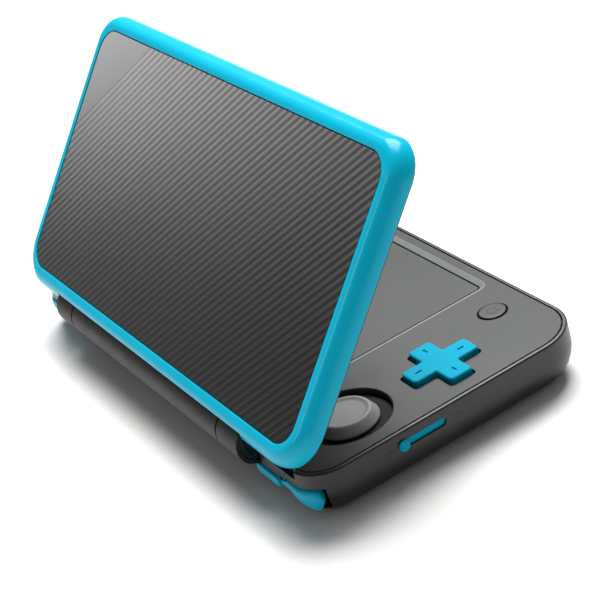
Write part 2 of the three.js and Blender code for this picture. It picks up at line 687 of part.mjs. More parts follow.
function lidFrame() {
  const flange = lidOutline(0.5, LID_RIM_N, LID_SHELL_IN - 0.1, { curve: 4 });
  const body = lidOutline(2.1, LID_RIM_N + 0.2, 3, { curve: 3 });
  let frame = cut(
    join(flange, body),
    lidSlab(76.4, 4.4, 76.9, [6, 6], -2, LID_FACE_N, { curve: 4 }),
    lidSlab(74.2, 8.8, 75.2, [4, 4], 1, 2.75, { curve: 4 }),
    lidBox(-70, 70, 12, 72, 0, 6),
    lidBox(-HINGE_BAY, HINGE_BAY, -10, 2.2, -10, 10),
    hingeRod(BARREL_R + GAP, HINGE_BAY),
    lidBox(-43, 43, 2, 9.4, 2.4, 6),
  );
  for (const [x, v] of Object.values(bumperSpots)) {
    const y = HINGE_Y - v;
    frame = cut(frame, rod(BUMPERS.r + 0.2, [x, y, HINGE_Z - 1], [x, y, HINGE_Z + 1.3], 16));
  }
  return frame;
}

const LENS = { x: 5.5, r: 1.7, out: 5.55, deep: 3.4 };
const MIC = { x: 13, r: 0.8, out: 5.5, deep: 4 };

function lidBarrel() {
  const drum = hingeRod(BARREL_R, BARREL_HALF);
  const web = lidBox(-42.6, 42.6, 2.6, 9, 2.7, 4.6);
  const bores = [-1, 1].map((side) => rod(
    PIN_R + PIN_FIT, [side * 35.5, HINGE_Y, HINGE_Z], [side * 50, HINGE_Y, HINGE_Z], 20,
  ));
  const pockets = [LENS, MIC].map(({ x, r, deep }) => rod(
    r + 0.2, [x, HINGE_Y, HINGE_Z - deep + 0.2], [x, HINGE_Y, HINGE_Z - 10], 20,
  ));
  return cut(join(drum, web), ...bores, ...pockets);
}

const lidParts = {
  lid_outer_shell: [lidShell(), 'turquoise'],
  lid_ribbed_panel: [ribbedPanel(), 'panel'],
  lid_inner_frame: [lidFrame(), 'shell'],
  top_screen_window: [
    lidSlab(74, 9, 75, [3.8, 3.8], LID_FACE_N, 2.65, { curve: 4 }),
    'glass',
  ],
  top_lcd_module: [lidBox(-62, 62, 12.4, 71.6, 2.8, 4.6), 'steel'],
  lid_hinge_barrel: [lidBarrel(), 'shell'],
  inner_camera_lens: [
    rod(LENS.r, [LENS.x, HINGE_Y, HINGE_Z - LENS.deep], [LENS.x, HINGE_Y, HINGE_Z - LENS.out], 20),
    'glass',
  ],
  microphone_insert: [
    rod(MIC.r, [MIC.x, HINGE_Y, HINGE_Z - MIC.deep], [MIC.x, HINGE_Y, HINGE_Z - MIC.out], 14),
    'dark',
  ],
};
for (const [name, [x, v]] of Object.entries(bumperSpots)) {
  lidParts[`lid_bumper_${name}`] = [
    rod(BUMPERS.r, [x, HINGE_Y - v, HINGE_Z + 0.1], [x, HINGE_Y - v, HINGE_Z + 0.85], 16),
    'rubber',
  ];
}

// ---- assembly ----
const FINISH = {
  turquoise: { roughness: 0.3, metalness: 0 },
  shell: { roughness: 0.5, metalness: 0 },
  plate: { roughness: 0.42, metalness: 0.15 },
  panel: { roughness: 0.45, metalness: 0.1 },
  glass: { roughness: 0.08, metalness: 0 },
  screen: { roughness: 0.3, metalness: 0 },
  grey: { roughness: 0.6, metalness: 0 },
  dark: { roughness: 0.4, metalness: 0 },
  steel: { roughness: 0.35, metalness: 1 },
  board: { roughness: 0.5, metalness: 0 },
  rubber: { roughness: 0.9, metalness: 0 },
  cell: { roughness: 0.6, metalness: 0 },
};

function addParts(target, parts, origin = new THREE.Vector3()) {
  for (const [name, [manifold, look]] of Object.entries(parts)) {
    const geometry = toGeometry(manifold).translate(-origin.x, -origin.y, -origin.z);
    const material = new THREE.MeshStandardMaterial({ color: COLOURS[look], ...FINISH[look] });
    const mesh = new THREE.Mesh(geometry, material);
    mesh.name = name;
    target.add(mesh);
  }
  return target;
}

const hinge = new THREE.Vector3(0, HINGE_Y, HINGE_Z);
const lid = addParts(new THREE.Group(), lidParts, hinge);
lid.position.copy(hinge);
lid.rotation.x = -THREE.MathUtils.degToRad(LID_OPEN_DEG);

const game = new THREE.Group();
game.name = 'handheld_lcd_game';
game.add(addParts(new THREE.Group(), baseParts));
game.add(addParts(new THREE.Group(), movingParts));
game.add(lid);

export default game;
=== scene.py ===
import json
import math

import bmesh
import bpy
from mathutils import Matrix, Quaternion, Vector


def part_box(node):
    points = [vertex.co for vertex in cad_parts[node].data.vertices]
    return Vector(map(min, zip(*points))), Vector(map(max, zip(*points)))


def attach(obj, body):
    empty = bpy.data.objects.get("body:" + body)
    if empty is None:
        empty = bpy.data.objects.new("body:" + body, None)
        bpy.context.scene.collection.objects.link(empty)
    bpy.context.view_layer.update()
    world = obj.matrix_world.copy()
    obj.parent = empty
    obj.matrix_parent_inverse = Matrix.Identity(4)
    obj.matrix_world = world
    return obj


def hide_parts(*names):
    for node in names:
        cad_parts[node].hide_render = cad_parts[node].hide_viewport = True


# A clamshell handheld lcd game, half open: the finished pieces over its CAD frame.
# Helpers take millimetres in the row frame: +X right, +Y towards the hinge, +Z up.

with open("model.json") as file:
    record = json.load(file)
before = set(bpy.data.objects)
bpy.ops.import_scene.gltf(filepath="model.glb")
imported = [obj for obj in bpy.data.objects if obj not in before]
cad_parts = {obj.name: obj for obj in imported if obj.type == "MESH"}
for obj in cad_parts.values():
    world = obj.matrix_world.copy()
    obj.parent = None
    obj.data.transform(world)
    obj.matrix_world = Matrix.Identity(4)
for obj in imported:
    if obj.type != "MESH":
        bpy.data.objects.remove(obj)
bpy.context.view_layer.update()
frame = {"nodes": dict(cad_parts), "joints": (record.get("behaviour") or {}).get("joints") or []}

MM = 0.001

# ---- sizes shared by several pieces, in millimetres ----
HALF_W = 80
FRONT_Y = -41.5
REAR_Y = 40
BASE_TOP = 14
SPLIT_Z = 4
FRONT_CORNER = 13
REAR_CORNER = 9.5
BOTTOM_ROUND = 9
BOTTOM_INSET = 8
RIM = 1.1
SEAM = 0.3
PLATE_BOTTOM = 12.6
WINDOW = (-42.3, -36.1, 42.3, 27.9)

BARREL_R = 5.7
BARREL_HALF = 43.3
HINGE_BAY = 54.6
HINGE_CLEAR_R = 6
NOTCH_END = 72.2
LENS_X = 5.5
MICROPHONE_X = 13
LID_NEAR = -0.5
LID_FAR = 80.4
LID_FREE_CORNER = 9
LID_HEEL_CORNER = 12
PANEL = (-75.1, 4.9, 75.1, 75.7)
PANEL_CORNER = 6.5

# Each rubber stop's distance from the middle and from the hinge.
BUMPERS = {"free": (68, 78.3), "heel": (62, 1.5)}

RIB_PITCH = 2.0
RIB_DEPTH = 0.03
PLAIN_CORNER = 21.3

VOLUME_Z = 10.4
VOLUME_SLOT = (2.35, 15.45)
KNOB_Y = 14.5
SHOULDER_HIGH = 9.4
SHOULDER_LENGTH = 14.6
SHOULDER_INBOARD = 63.8
SHOULDER_GAP = 0.35
CORNER_X = HALF_W - REAR_CORNER
CORNER_Y = REAR_Y - REAR_CORNER

lid_joint = next(joint for joint in frame["joints"] if joint["name"] == "lid_hinge")
HINGE = Vector(lid_joint["pos_m"])
HINGE_Y = HINGE.y / MM
HINGE_Z = HINGE.z / MM
LID_TURN = (
    Matrix.Translation(HINGE)
    @ Matrix.Rotation(math.radians(lid_joint["range_deg"][0]), 4, "X")
    @ Matrix.Translation(-HINGE)
)


# ---- outlines ----
def rounded(x0, y0, x1, y1, near, far=None, steps=10):
    """Points round a rounded rectangle, anticlockwise. near is the radius at y0, far at y1."""
    far = near if far is None else far
    corners = [
        (x1 - near, y0 + near, near, -90),
        (x1 - far, y1 - far, far, 0),
        (x0 + far, y1 - far, far, 90),
        (x0 + near, y0 + near, near, 180),
    ]
    points = []
    for cx, cy, r, start in corners:
        for i in range(steps + 1):
            a = math.radians(start + 90 * i / steps)
            points.append((cx + r * math.cos(a), cy + r * math.sin(a)))
    return points


def circle(x, y, r, sides=64):
    angles = [2 * math.pi * i / sides for i in range(sides)]
    return [(x + r * math.cos(a), y + r * math.sin(a)) for a in angles]


def bend(draw, rise, steps):
    """(inset, height) points up a quarter round, from upright to flat."""
    angles = [math.pi / 2 * i / steps for i in range(steps + 1)]
    return [(draw * (1 - math.cos(a)), rise * math.sin(a)) for a in angles]


def cross_outline(x, y, half, arm, tip, crotch, steps=5):
    """A cross with round corners: tip is the radius at its arms' ends, crotch between them."""
    points = []
    for quarter in range(4):
        turn = math.pi / 2 * quarter
        arcs = [
            (half - tip, -arm + tip, tip, -90, 0),
            (half - tip, arm - tip, tip, 0, 90),
            (arm + crotch, arm + crotch, crotch, 270, 180),
        ]
        for cx, cy, r, start, end in arcs:
            for i in range(steps + 1):
                a = math.radians(start + (end - start) * i / steps)
                px, py = cx + r * math.cos(a), cy + r * math.sin(a)
                points.append((
                    x + px * math.cos(turn) - py * math.sin(turn),
                    y + px * math.sin(turn) + py * math.cos(turn),
                ))
    return points


def base_outline(inset):
    return rounded(
        -HALF_W + inset, FRONT_Y + inset, HALF_W - inset, REAR_Y - inset,
        FRONT_CORNER - inset, REAR_CORNER - inset,
    )


def lid_outline(inset):
    """The lid's outline while closed, drawn in by inset."""
    return rounded(
        -HALF_W + inset, HINGE_Y - LID_FAR + inset, HALF_W - inset, HINGE_Y - LID_NEAR - inset,
        LID_FREE_CORNER - inset, LID_HEEL_CORNER - inset,
    )


def panel_outline(grow):
    x0, near, x1, far = PANEL
    return rounded(
        x0 - grow, HINGE_Y - far - grow, x1 + grow, HINGE_Y - near + grow, PANEL_CORNER + grow,
    )


def lid_rectangle(half, near, far, radius):
    return rounded(-half, HINGE_Y - far, half, HINGE_Y - near, radius)


# ---- meshes ----
def new_piece(name, vertices, faces):
    """A linked mesh object from points in millimetres, its faces turned outwards."""
    mesh = bpy.data.meshes.new(name)
    mesh.from_pydata([Vector(v) * MM for v in vertices], [], faces)
    shell = bmesh.new()
    shell.from_mesh(mesh)
    bmesh.ops.recalc_face_normals(shell, faces=shell.faces)
    shell.to_mesh(mesh)
    shell.free()
    piece = bpy.data.objects.new(name, mesh)
    bpy.context.scene.collection.objects.link(piece)
    return piece


def ring(outline, z):
    return [(x, y, z) for x, y in outline]


def loft(name, rings, loop=False):
    """A skin over rings of equally many points. Its ends are capped, or joined up if loop."""
    count = len(rings[0])
    vertices = [point for one in rings for point in one]
    faces = []
    for low in range(len(rings) if loop else len(rings) - 1):
        high = (low + 1) % len(rings)
        for i in range(count):
            j = (i + 1) % count
            faces.append((low * count + i, low * count + j, high * count + j, high * count + i))
    if not loop:
        faces.append(tuple(reversed(range(count))))
        faces.append(tuple(range((len(rings) - 1) * count, len(rings) * count)))
    return new_piece(name, vertices, faces)


def slab(name, outline_at, z0, z1, edge=0.2, steps=4):
    """A flat plate with a rounded top edge. outline_at(inset) gives its outline."""
    rings = [ring(outline_at(0), z0)]
    rings += [ring(outline_at(inset), z1 - edge + up) for inset, up in bend(edge, edge, steps)]
    return loft(name, rings)


def block(x0, x1, y0, y1, z0, z1):
    """A box to cut with."""
    corners = [(x0, y0), (x1, y0), (x1, y1), (x0, y1)]
    return loft("cutter", [ring(corners, z0), ring(corners, z1)])


def lathe(name, profile, x, y, loop=False, sides=64):
    """Turns (radius, height) points about a vertical axis."""
    return loft(name, [ring(circle(x, y, r, sides), z) for r, z in profile], loop)


def across(name, profile, y, z, loop=False, sides=64):
    """Turns (radius, x) points about an axis along X."""
    rings = [[(x, y + u, z + v) for u, v in circle(0, 0, r, sides)] for r, x in profile]
    return loft(name, rings, loop)


def lengthwise(name, profile, x, z, loop=False, sides=48):
    """Turns (radius, y) points about an axis along Y."""
    rings = [[(x - u, y, z + v) for u, v in circle(0, 0, r, sides)] for r, y in profile]
    return loft(name, rings, loop)


def opening(outline_at, bottom, top, edge, steps=6):
    """A cutter for a hole from above whose rim is rounded. outline_at(grow) gives its outline."""
    rings = [ring(outline_at(0), bottom)]
    rings += [ring(outline_at(grow), top - edge + up) for grow, up in bend(edge, edge, steps)]
    rings.append(ring(outline_at(edge), top + 3))
    return loft("cutter", rings)


def round_opening(x, y, r, bottom, top, edge=0.2):
    return opening(lambda grow: circle(x, y, r + grow), bottom, top, edge)


def combine(piece, others, operation):
    """Applies exact Booleans to a piece with the other solids, which are used up."""
    for other in others:
        step = piece.modifiers.new("combine", "BOOLEAN")
        step.operation = operation
        step.solver = "EXACT"
        step.object = other
    bpy.context.view_layer.update()
    result = bpy.data.meshes.new_from_object(
        piece.evaluated_get(bpy.context.evaluated_depsgraph_get())
    )
    piece.modifiers.clear()
    piece.data = result
    for other in others:
        bpy.data.objects.remove(other, do_unlink=True)
    return piece


def carve(piece, *cutters):
    return combine(piece, cutters, "DIFFERENCE")


def weld(piece, *others):
    return combine(piece, others, "UNION")


def smooth(piece, angle=30):
    """Smooth shading with creases sharper than angle kept, and flat faces left flat."""
    piece.data.shade_smooth()
    piece.data.set_sharp_from_angle(angle=math.radians(angle))
    weights = piece.modifiers.new("weighted_normals", "WEIGHTED_NORMAL")
    weights.keep_sharp = True


def finish_piece(piece, name, body, material, nodes=(), angle=30):
    """Names a piece, gives it its material, and joins it to the frame."""
    piece.name = name
    piece.data.name = name
    piece.data.materials.clear()
    piece.data.materials.append(material)
    smooth(piece, angle)
    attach(piece, body)
    if nodes:
        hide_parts(*nodes)
    return piece


def open_lid(piece):
    """Turns a piece made on the closed lid to where the lid rests."""
    piece.data.transform(LID_TURN)
    return piece


def centre(node):
    """A CAD node's middle and its box, in millimetres."""
    low, high = (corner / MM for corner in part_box(node))
    return (low + high) / 2, low, high


# ---- materials ----
def srgb(red, green, blue):
    """A colour given as 0 to 255 in the usual display encoding, as the shader wants it."""
    def linear(value):
        c = value / 255
        return c / 12.92 if c <= 0.04045 else ((c + 0.055) / 1.055) ** 2.4
    return (linear(red), linear(green), linear(blue), 1)


def scaled(colour, factor):
    return tuple(min(1, c * factor) for c in colour[:3]) + (1,)


def noise(tree, size, detail=4):
    """Noise in object space whose features are about size millimetres across."""
    coordinates = tree.nodes.new("ShaderNodeTexCoord")
    texture = tree.nodes.new("ShaderNodeTexNoise")
    texture.inputs["Scale"].default_value = 1 / (size * MM)
    texture.inputs["Detail"].default_value = detail
    tree.links.new(coordinates.outputs["Object"], texture.inputs["Vector"])
    return texture.outputs["Fac"]


def ramp(tree, value, dark, light, start=0.3, end=0.7):
    blend = tree.nodes.new("ShaderNodeValToRGB")
    blend.color_ramp.elements[0].position = start
    blend.color_ramp.elements[0].color = dark
    blend.color_ramp.elements[1].position = end
    blend.color_ramp.elements[1].color = light
    tree.links.new(value, blend.inputs["Fac"])
    return blend.outputs["Color"]


def spread(tree, value, low, high):
    remap = tree.nodes.new("ShaderNodeMapRange")
    remap.inputs["From Min"].default_value = 0.3
    remap.inputs["From Max"].default_value = 0.7
    remap.inputs["To Min"].default_value = low
    remap.inputs["To Max"].default_value = high
    tree.links.new(value, remap.inputs["Value"])
    return remap.outputs["Result"]


def bump(tree, height, strength, distance):
    bumps = tree.nodes.new("ShaderNodeBump")
    bumps.inputs["Strength"].default_value = strength
    bumps.inputs["Distance"].default_value = distance * MM
    tree.links.new(height, bumps.inputs["Height"])
    return bumps.outputs["Normal"]


def finish_of(
    name, colour, roughness, *, grain=0.25, relief=0.1, depth=0.02, tone=0.06, gloss_range=0.04,
    patch=14, metallic=0.0, coat=0.0, coat_roughness=0.1, specular=0.5, sheen=0.0,
):
    """A moulded or cast surface: fine grain in its relief, and slow drift in colour and gloss."""
    material = bpy.data.materials.new(name)
    material.use_nodes = True
    tree = material.node_tree
    shader = tree.nodes["Principled BSDF"]
    shader.inputs["Metallic"].default_value = metallic
    shader.inputs["Coat Weight"].default_value = coat
    shader.inputs["Coat Roughness"].default_value = coat_roughness
    shader.inputs["Specular IOR Level"].default_value = specular
    shader.inputs["Sheen Weight"].default_value = sheen
    drift = noise(tree, patch, 3)
    fine = noise(tree, grain, 2)
    shade = ramp(tree, drift, scaled(colour, 1 - tone), scaled(colour, 1 + tone))
    tree.links.new(shade, shader.inputs["Base Color"])
    gloss = spread(tree, drift, roughness - gloss_range, roughness + gloss_range)
    tree.links.new(gloss, shader.inputs["Roughness"])
    tree.links.new(bump(tree, fine, relief, depth), shader.inputs["Normal"])
    return material


# One turquoise plastic in two copies. This copy, used on the lid border and the shoulder and
# trigger buttons, is painted lighter as painted light for the stronger light on the lid.
def turquoise_painted_light():
    return finish_of(
        "turquoise_painted_light", srgb(0, 172, 203), 0.24,
        grain=0.5, relief=0.05, depth=0.01, tone=0.03, specular=0.16,
    )


# The same turquoise painted darker, as painted shade for the dimmer light on the cross, keys and
# volume knob; its roughness and specular are its own.
def turquoise_painted_shade():
    return finish_of(
        "turquoise_painted_shade", srgb(0, 152, 182), 0.48,
        grain=0.3, relief=0.08, depth=0.01, tone=0.03, specular=0.04,
    )


def black_shell():
    return finish_of("black_shell", srgb(19, 20, 21), 0.38, grain=0.18, relief=0.1, tone=0.08)


def black_hinge():
    return finish_of(
        "black_hinge", srgb(12, 13, 14), 0.5, grain=0.16, relief=0.16, tone=0.08, specular=0.35,
    )


def satin_plate():
    return finish_of(
        "satin_plate", srgb(42, 44, 44), 0.44, grain=0.22, relief=0.1, tone=0.05, metallic=0.12,
        specular=0.38,
    )


def satin_panel():
    return finish_of(
        "satin_panel", srgb(11, 12, 13), 0.35, grain=0.25, relief=0.08, tone=0.03,
        gloss_range=0.006, specular=0.3,
    )


def soft_grey_pad():
    return finish_of(
        "soft_grey_pad", srgb(146, 147, 147), 0.55, grain=0.2, relief=0.2, tone=0.05, sheen=0.1,
    )


def dark_button():
    return finish_of("dark_button", srgb(38, 39, 41), 0.38, grain=0.2, relief=0.1, tone=0.06)


def screen_film():
    return finish_of(
        "screen_film", srgb(44, 46, 46), 0.4, grain=0.12, relief=0.03, depth=0.004, tone=0.03,
        specular=0.35,
    )


# The screen chamfer's grey, much lighter than the face plate it belongs to: a painted highlight.
# Its lower roughness is real gloss.
def frame_painted_highlight():
    return finish_of(
        "frame_painted_highlight", srgb(122, 125, 125), 0.3, grain=0.2, relief=0.05, depth=0.01, tone=0.04,
    )


def black_glass():
    return finish_of(
        "black_glass", srgb(14, 15, 17), 0.07, grain=6, relief=0.004, depth=0.004, tone=0.1,
        gloss_range=0.02, coat=0.6, coat_roughness=0.04,
    )


def display_glass():
    return finish_of(
        "display_glass", srgb(36, 39, 42), 0.1, grain=6, relief=0.004, depth=0.004, tone=0.08,
        gloss_range=0.02, coat=0.6, coat_roughness=0.04,
    )


def smoked_window():
    return finish_of(
        "smoked_window", srgb(24, 14, 20), 0.12, grain=2, relief=0.03, depth=0.01, tone=0.15,
        gloss_range=0.03, coat=0.5, coat_roughness=0.05,
    )


def light_pipe():
    return finish_of(
        "light_pipe", srgb(190, 194, 192), 0.35, grain=0.3, relief=0.08, tone=0.04,
    )


def soft_rubber():
    return finish_of("soft_rubber", srgb(28, 28, 29), 0.8, grain=0.2, relief=0.3, tone=0.1)


def bare_steel():
    return finish_of(
        "bare_steel", srgb(176, 178, 181), 0.32, grain=0.3, relief=0.12, tone=0.06, metallic=1.0,
    )


def inner_black():
    return finish_of(
        "inner_black", srgb(17, 18, 19), 0.6, grain=0.2, relief=0.15, tone=0.1, specular=0.15,
    )


def board_green():
    return finish_of(
        "board_green", srgb(24, 74, 50), 0.45, grain=0.6, relief=0.3, tone=0.2, patch=5,
    )


def cell_wrap():
    return finish_of("cell_wrap", srgb(58, 62, 68), 0.5, grain=1.2, relief=0.1, tone=0.1)


def printed_mark():
    return finish_of("printed_mark", srgb(10, 10, 11), 0.6, grain=0.2, relief=0.05, tone=0.1)


def studio_floor():
    return finish_of(
        "studio_floor", srgb(238, 237, 236), 0.8, grain=1.5, relief=0.03, tone=0.01, patch=200,
        specular=0.2,
    )


# The two turquoise finishes are one plastic, painted lighter and darker as painted light and shade.
TURQUOISE_PAINTED_LIGHT = turquoise_painted_light()
TURQUOISE_PAINTED_SHADE = turquoise_painted_shade()
SHELL = black_shell()
HINGE_BLACK = black_hinge()
PLATE = satin_plate()
PANEL_FINISH = satin_panel()
PAD = soft_grey_pad()
BUTTON = dark_button()
FILM = screen_film()
FRAME_PAINTED_HIGHLIGHT = frame_painted_highlight()
GLASS = black_glass()
DISPLAY = display_glass()
SMOKED = smoked_window()
PIPE = light_pipe()
RUBBER = soft_rubber()
STEEL = bare_steel()
INNER = inner_black()
BOARD = board_green()
CELL = cell_wrap()
MARK = printed_mark()


# ---- base shells ----
def side_inset(z):
    """How far the rounded bottom has drawn in from the sides at height z."""
    if z >= BOTTOM_ROUND:
        return 0
    return BOTTOM_INSET * (1 - math.sqrt(1 - (1 - z / BOTTOM_ROUND) ** 2))


def bottom_curve(z0, z1, steps=26):
    """Rings up the rounded side from z0 to z1."""
    curve = [BOTTOM_ROUND * (1 - math.cos(math.pi / 2 * i / steps)) for i in range(steps + 1)]
    heights = [z0] + [z for z in curve if z0 < z < z1] + [z1]
    return [ring(base_outline(side_inset(z)), z) for z in heights]


def top_round(radius=0.6, steps=5):
    """Rings over the rounded top edge of the sides."""
    return [
        ring(base_outline(inset), BASE_TOP - radius + up)
        for inset, up in bend(radius, radius, steps)
    ]


def base_core(z):
    """The hollow inside the thick upper walls."""
    return ring(rounded(-HALF_W + 4.2, FRONT_Y + 4.2, HALF_W - 4.2, REAR_Y - 8.5, 8.8, 9), z)


def corner_path(along):
    """A point on the rear corner's wall, along mm from the inboard end, and its way outwards."""
    straight = CORNER_X - SHOULDER_INBOARD
    if along <= straight:
        return (SHOULDER_INBOARD + along, REAR_Y), (0, 1)
    a = math.pi / 2 - (along - straight) / REAR_CORNER
    out = (math.cos(a), math.sin(a))
    return (CORNER_X + REAR_CORNER * out[0], CORNER_Y + REAR_CORNER * out[1]), out


def shoulder_edges(along):
    """The shoulder button's lower and upper edge: a small step inboard, a deep drop at its end."""
    low = 6.8 - 3.4 * min(1, max(0, (along - 4.8) / 8.2))
    high = SHOULDER_HIGH - 0.9 * max(0, 1 - max(0, along - 2.2) / 0.8)
    return low, high


def shoulder_pocket(side):
    """Follows the shoulder button and runs on past its thick end."""
    rings = []
    steps = 40
    inner, outer = -5.8, 3
    for i in range(steps + 1):
        along = -SHOULDER_GAP + (SHOULDER_LENGTH + 1.75) * i / steps
        (x, y), out = corner_path(along)
        low, high = shoulder_edges(along)
        section = [
            (inner, low - SHOULDER_GAP), (outer, low - SHOULDER_GAP),
            (outer, high + SHOULDER_GAP), (inner, high + SHOULDER_GAP),
        ]
        rings.append([(side * (x + out[0] * o), y + out[1] * o, z) for o, z in section])
    return loft("cutter", rings)


def sided(side, inner, outer):
    """The low and high x of a stretch that is inner to outer mm from the middle."""
    return (inner, outer) if side > 0 else (-outer, -inner)


def volume_cutters():
    """The stadium slot in the left wall with its rounded rim, and the channel behind it."""
    y0, y1 = VOLUME_SLOT
    half = 1.0
    slot = opening(
        lambda grow: rounded(-half - grow, y0 - grow, half + grow, y1 + grow, half + grow - 0.01),
        -2.5, 0, 0.18,
    )
    to_wall = Matrix.Translation(Vector((-HALF_W, 0, VOLUME_Z)) * MM)
    slot.data.transform(to_wall @ Matrix.Rotation(-math.pi / 2, 4, "Y"))
    channel = block(-HALF_W + 0.45, -HALF_W + 1.9, -10, 27.8, VOLUME_Z - 1.6, VOLUME_Z + 1.6)
    return [slot, channel]


def seat(node, ease=0.2):
    """A pocket for a socket, a little larger than the socket."""
    _, low, high = centre(node)
    return block(
        low.x - ease, high.x + ease, low.y - ease, high.y + ease, low.z - ease, high.z + ease,
    )


def wall_cutters():
    """What opens the walls of both half shells."""
    cutters = []
    for side in (-1, 1):
        x0, x1 = sided(side, HINGE_BAY, NOTCH_END)
        cutters.append(block(x0, x1, REAR_Y - RIM, 60, 11.9, 30))
        cutters.append(shoulder_pocket(side))
        x0, x1 = sided(side, 51.1, 63.1)
        cutters.append(block(x0, x1, 35.8, 60, 4.7, 8.2))
        x0, x1 = sided(side, 44.15, 50.65)
        cutters.append(block(x0, x1, 35.35, 39.05, 5.3, 12))
    jack, _, _ = centre("headphone_jack")
    pen, _, _ = centre("stylus")
    _, low, high = centre("infrared_window")
    cutters += [
        block(-HINGE_BAY, HINGE_BAY, 33.26, 60, 8, 30),
        block(-53.25, 1.25, -60, -31.5, 2.15, 8.65),
        block(low.x - 0.2, high.x + 0.2, 36.4, 60, low.z - 0.2, high.z + 0.2),
        block(15, 22, 35, 60, 3.6, 5.8),
        seat("charge_socket"),
        lengthwise("cutter", [(1.75, -60), (1.75, -20)], jack.x, jack.z),
        lengthwise("cutter", [(2.7, -37.2), (2.7, -20)], jack.x, jack.z),
        lengthwise("cutter", [(2.4, -60), (2.4, -20)], pen.x, pen.z),
    ]
    return cutters


def upper_shell():
    """The upper half: rounded sides up to the thin rim round the face plate."""
    rings = bottom_curve(SPLIT_Z + 0.02, BASE_TOP - 0.6)[:-1] + top_round()
    rings += [ring(base_outline(inset), z) for inset, z in (
        (RIM - 0.15, BASE_TOP), (RIM - 0.03, BASE_TOP - 0.05), (RIM, BASE_TOP - 0.18),
        (RIM, PLATE_BOTTOM - 0.15), (1.7, PLATE_BOTTOM - 0.15), (1.7, 11.3),
    )]
    rings += [base_core(11.3), base_core(SPLIT_Z + 0.02)]
    piece = carve(loft("shell", rings, loop=True), *wall_cutters(), *volume_cutters())
    finish_piece(piece, "upper_shell", "base", SHELL, ["base_upper_shell"])


def lower_shell():
    """The lower half: a shallow tub with grilles, screw holes and camera holes in its floor."""
    rings = [ring(base_outline(side_inset(z) + wall), z) for z, wall in (
        (1.6, 2.5), (2.4, 1.9), (SPLIT_Z - 0.03, 1.7),
    )]
    rings += list(reversed(bottom_curve(0, SPLIT_Z - 0.03)))
    piece = loft("shell", rings)
    bosses = []
    cutters = wall_cutters()
    for side in (-1, 1):
        screw, _, _ = centre("cover_screw_left" if side < 0 else "cover_screw_right")
        lens, _, _ = centre("outer_camera_left" if side < 0 else "outer_camera_right")
        bosses.append(lathe("boss", [(3.6, 0.4), (3.6, 3.8)], screw.x, screw.y))
        cutters += [
            lathe("cutter", [(2.5, -1), (2.5, 2)], screw.x, screw.y),
            lathe("cutter", [(1.25, 1), (1.25, 6)], screw.x, screw.y),
            lathe("cutter", [(3.5, -1), (3.2, 0.3), (3.2, 3)], lens.x, lens.y),
        ]
        x0, x1 = sided(side, 56.4, 63.6)
        for row in range(4):
            y = -29 + (row - 1.5) * 2.2
            slot = rounded(x0, y - 0.5, x1, y + 0.5, 0.5)
            cutters.append(loft("cutter", [ring(slot, -1), ring(slot, 2.1)]))
    carve(weld(piece, *bosses), *cutters)
    finish_piece(piece, "lower_shell", "base", SHELL, ["base_lower_shell"])


def card_cover():
    """The hinged strip in the front wall that hides the card slots."""
    rings = bottom_curve(0, BASE_TOP - 1) + [
        ring(base_outline(side_inset(z) + 1.2), z)
        for z in (BASE_TOP - 1, 9, 6, 4.5, 3.2, 2.2, 1.5)
    ]
    piece = loft("cover", rings)
    _, low, high = centre("card_slot_cover")
    face = rounded(low.x, low.z, high.x, high.z, 0.6)
    stamp = loft("stamp", [[(x, y, z) for x, z in face] for y in (-33.5, -60)])
    combine(piece, [stamp], "INTERSECT")
    finish_piece(
        piece, "card_slot_lid", "card_slot_cover", SHELL, ["card_slot_cover"],
    )


# ---- face plate and what it holds ----
def plate_hole(node, gap=0.3):
    """A round hole in the face plate, gap mm wider all round than the button in it."""
    middle, low, high = centre(node)
    return round_opening(middle.x, middle.y, (high.x - low.x) / 2 + gap, 11, BASE_TOP)


def window_ring(grow, z):
    """The screen opening's outline at height z, grow mm out all round."""
    x0, y0, x1, y1 = WINDOW
    return ring(rounded(x0 - grow, y0 - grow, x1 + grow, y1 + grow, 1.4 + grow), z)


def screen_frame():
    """The glossier slope from the face plate down to the lower screen, its grey much lighter than
    the plate's as a painted highlight.
    """
    piece = loft("frame", [window_ring(grow, z) for grow, z in (
        (1.62, 12.7), (1.62, 13.93), (1.56, 13.98), (1.48, BASE_TOP), (1.4, 13.98), (1.34, 13.93),
        (0.06, 13.37), (0.01, 13.34), (0, 13.3), (0, 12.7),
    )], loop=True)
    finish_piece(piece, "screen_frame", "base", FRAME_PAINTED_HIGHLIGHT)


def face_plate():
    """The satin deck, with its openings for the screen, the pads, the buttons and the light."""
    piece = slab("plate", lambda inset: base_outline(RIM + SEAM + inset), PLATE_BOTTOM, BASE_TOP)
    pad, _, _ = centre("dpad")
    thumb, _, _ = centre("circle_pad_housing")
    _, low, high = centre("status_light_window")
    cutters = [
        block(-HINGE_BAY, HINGE_BAY, 33.05, 60, 0, 30),
        loft("cutter", [window_ring(1.66, 11), window_ring(1.66, 17)]),
        opening(
            lambda grow: cross_outline(pad.x, pad.y, 10 + grow, 3.7 + grow, 0.9 + grow, 0.5),
            11, BASE_TOP, 0.2,
        ),
        round_opening(thumb.x, thumb.y, 11.4, 11, BASE_TOP, 0.45),
        opening(
            lambda grow: rounded(
                low.x - 0.15 - grow, low.y - 0.15 - grow,
                high.x + 0.15 + grow, high.y + 0.15 + grow, 0.7 + grow,
            ),
            11, BASE_TOP, 0.15,
        ),
    ]
    cutters += [plate_hole(node) for node in (
        "button_home", "button_start", "button_select", "button_power",
        "button_a", "button_b", "button_x", "button_y", "c_stick_nub",
    )]
    carve(piece, *cutters)
    finish_piece(
        piece, "face_plate", "base", PLATE, ["base_face_plate"], angle=20,
    )


